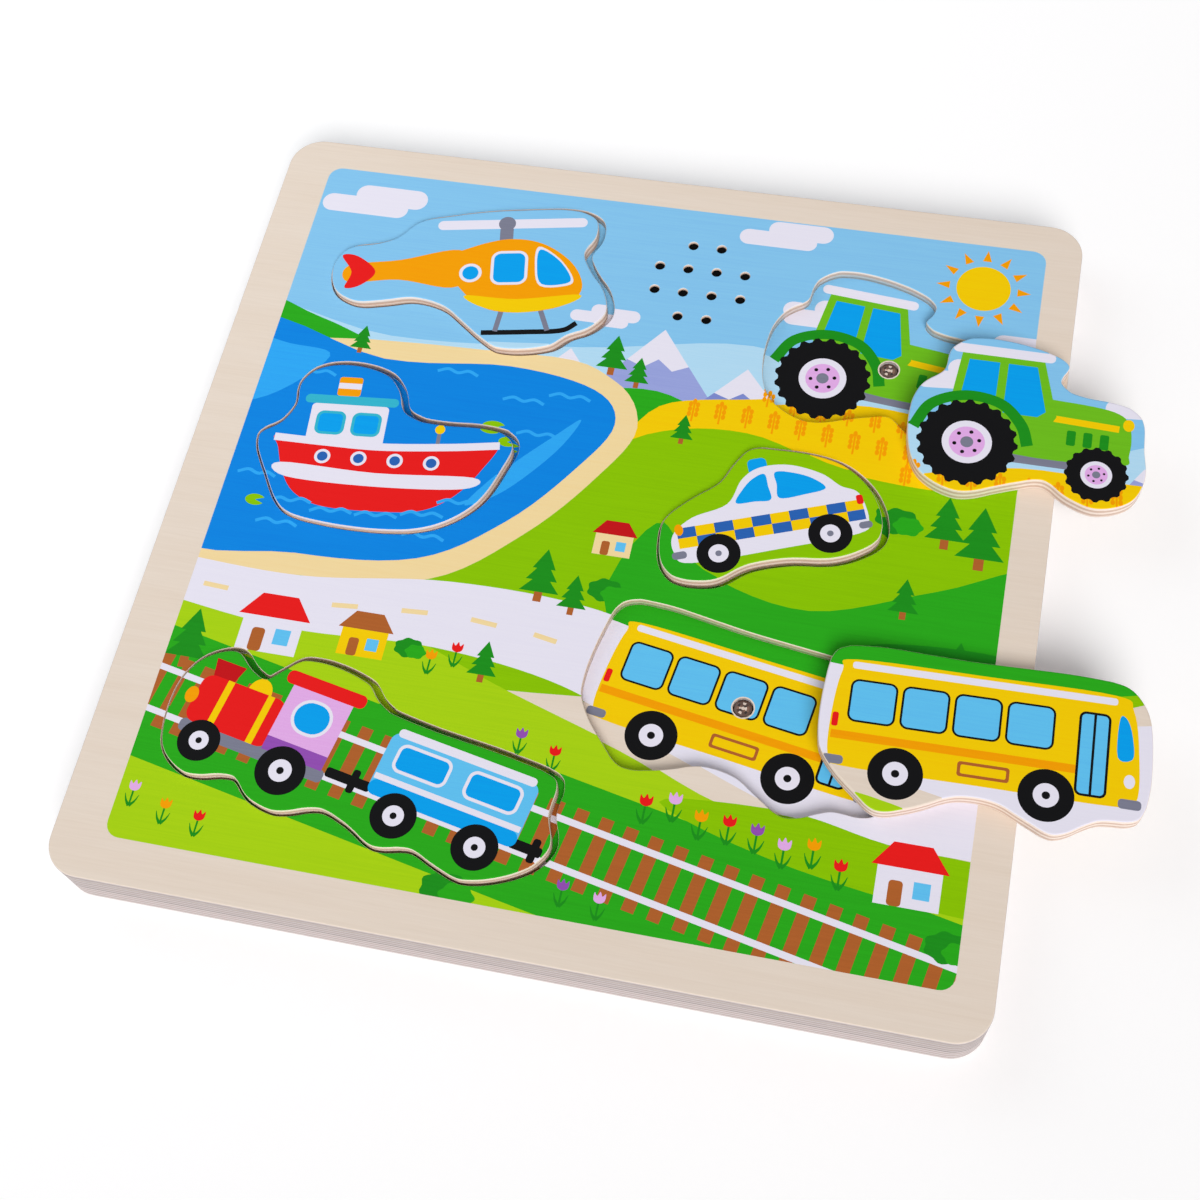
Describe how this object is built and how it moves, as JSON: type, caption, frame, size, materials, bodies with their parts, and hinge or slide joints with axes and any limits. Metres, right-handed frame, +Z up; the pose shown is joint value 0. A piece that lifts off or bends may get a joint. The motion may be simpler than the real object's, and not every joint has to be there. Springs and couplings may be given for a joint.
{
  "type": "sound puzzle",
  "caption": "Square plywood puzzle board with printed vehicle pieces that lift out of shaped recesses, with light sensors in the recess floors and a speaker that plays sounds",
  "frame": {"origin": "middle of the board's underside", "axes": "+X to the board's right, +Y to its far edge, +Z up out of its printed face"},
  "size_m": [0.3381, 0.3, 0.026],
  "materials": {
    "printed_ply": "full-colour ink under clear satin lacquer on birch plywood",
    "birch_ply": "bare sanded birch plywood, clear matt lacquer",
    "back_board": "bare plywood sheet",
    "print_helicopter": "printed birch plywood, satin lacquer",
    "print_boat": "printed birch plywood, satin lacquer",
    "print_car": "printed birch plywood, satin lacquer",
    "print_train": "printed birch plywood, satin lacquer",
    "print_tractor": "printed birch plywood, satin lacquer",
    "print_bus": "printed birch plywood, satin lacquer",
    "sensor_ceramic": "light-sensitive ceramic disc under clear resin",
    "lead_insulation": "flexible lead insulation",
    "steel": "zinc-plated steel",
    "plated_contact": "nickel-plated spring steel",
    "speaker_steel": "pressed steel",
    "speaker_paper": "black paper cone",
    "ferrite": "dark ferrite magnet",
    "circuit_laminate": "green solder resist",
    "black_resin": "black moulded resin",
    "cell_wrap": "plain printed metal sleeve",
    "black_plastic": "moulded black plastic with a fine grain"
  },
  "bodies": {
    "board": {"back_panel": "back_board", "back_screw_1": "steel", "back_screw_2": "steel", "back_screw_3": "steel", "back_screw_4": "steel", "back_screw_5": "steel", "back_screw_6": "steel", "back_screw_7": "steel", "back_screw_8": "steel", "battery_box": "black_plastic", "battery_box_screw_1": "steel", "battery_box_screw_2": "steel", "battery_cell_1": "cell_wrap", "battery_cell_2": "cell_wrap", "battery_lead": "lead_insulation", "bridge_contact": "plated_contact", "capacitor": "black_resin", "circuit_board": "circuit_laminate", "circuit_board_screw_1": "steel", "circuit_board_screw_2": "steel", "face_panel": "printed_ply", "frame_rail_back": "birch_ply", "frame_rail_front": "birch_ply", "frame_rail_left": "birch_ply", "frame_rail_right": "birch_ply", "light_sensor_boat": "sensor_ceramic", "light_sensor_bus": "sensor_ceramic", "light_sensor_car": "sensor_ceramic", "light_sensor_helicopter": "sensor_ceramic", "light_sensor_tractor": "sensor_ceramic", "light_sensor_train": "sensor_ceramic", "negative_contact": "plated_contact", "positive_contact": "plated_contact", "recess_floor_panel": "birch_ply", "sensor_lead_boat": "lead_insulation", "sensor_lead_bus": "lead_insulation", "sensor_lead_car": "lead_insulation", "sensor_lead_helicopter": "lead_insulation", "sensor_lead_tractor": "lead_insulation", "sensor_lead_train": "lead_insulation", "sound_chip": "black_resin", "speaker_frame": "speaker_steel", "speaker_lead": "lead_insulation", "speaker_magnet": "ferrite", "switch_body": "black_plastic", "switch_lead": "lead_insulation", "switch_screw_1": "steel", "switch_screw_2": "steel"},
    "helicopter_piece": {"helicopter_piece": "print_helicopter"},
    "boat_piece": {"boat_piece": "print_boat"},
    "car_piece": {"car_piece": "print_car"},
    "train_piece": {"train_piece": "print_train"},
    "tractor_piece": {"tractor_piece": "print_tractor"},
    "bus_piece": {"bus_piece": "print_bus"},
    "battery_door": {"battery_door": "black_plastic"},
    "battery_door_screw": {"battery_door_screw": "steel"},
    "switch_slider": {"switch_slider": "black_plastic"},
    "speaker_cone": {"speaker_cone": "speaker_paper"}
  },
  "joints": [
    {"name": "helicopter_lift", "type": "slide", "parent": "board", "child": "helicopter_piece", "axis": [0, 0, 1], "range_m": [0, 0.03]},
    {"name": "boat_lift", "type": "slide", "parent": "board", "child": "boat_piece", "axis": [0, 0, 1], "range_m": [0, 0.03]},
    {"name": "car_lift", "type": "slide", "parent": "board", "child": "car_piece", "axis": [0, 0, 1], "range_m": [0, 0.03]},
    {"name": "train_lift", "type": "slide", "parent": "board", "child": "train_piece", "axis": [0, 0, 1], "range_m": [0, 0.03]},
    {"name": "tractor_lift", "type": "slide", "parent": "board", "child": "tractor_piece", "axis": [0, 0, 1], "range_m": [0, 0.03]},
    {"name": "bus_lift", "type": "slide", "parent": "board", "child": "bus_piece", "axis": [0, 0, 1], "range_m": [0, 0.03]},
    {"name": "battery_door_hinge", "type": "hinge", "parent": "board", "child": "battery_door", "pos_m": [-0.0445, -0.04, 0.00115], "axis": [0, -1, 0], "range_deg": [0, 80]},
    {"name": "battery_door_screw_turn", "type": "hinge", "parent": "battery_door", "child": "battery_door_screw", "pos_m": [-0.10025, -0.04, 0.0005], "axis": [0, 0, -1], "continuous": true},
    {"name": "switch_slide", "type": "slide", "parent": "board", "child": "switch_slider", "axis": [1, 0, 0], "range_m": [0, 0.004]},
    {"name": "speaker_cone_travel", "type": "slide", "parent": "board", "child": "speaker_cone", "axis": [0, 0, 1], "range_m": [-0.0004, 0.0004], "stiffness_N_per_m": 800}
  ]
}
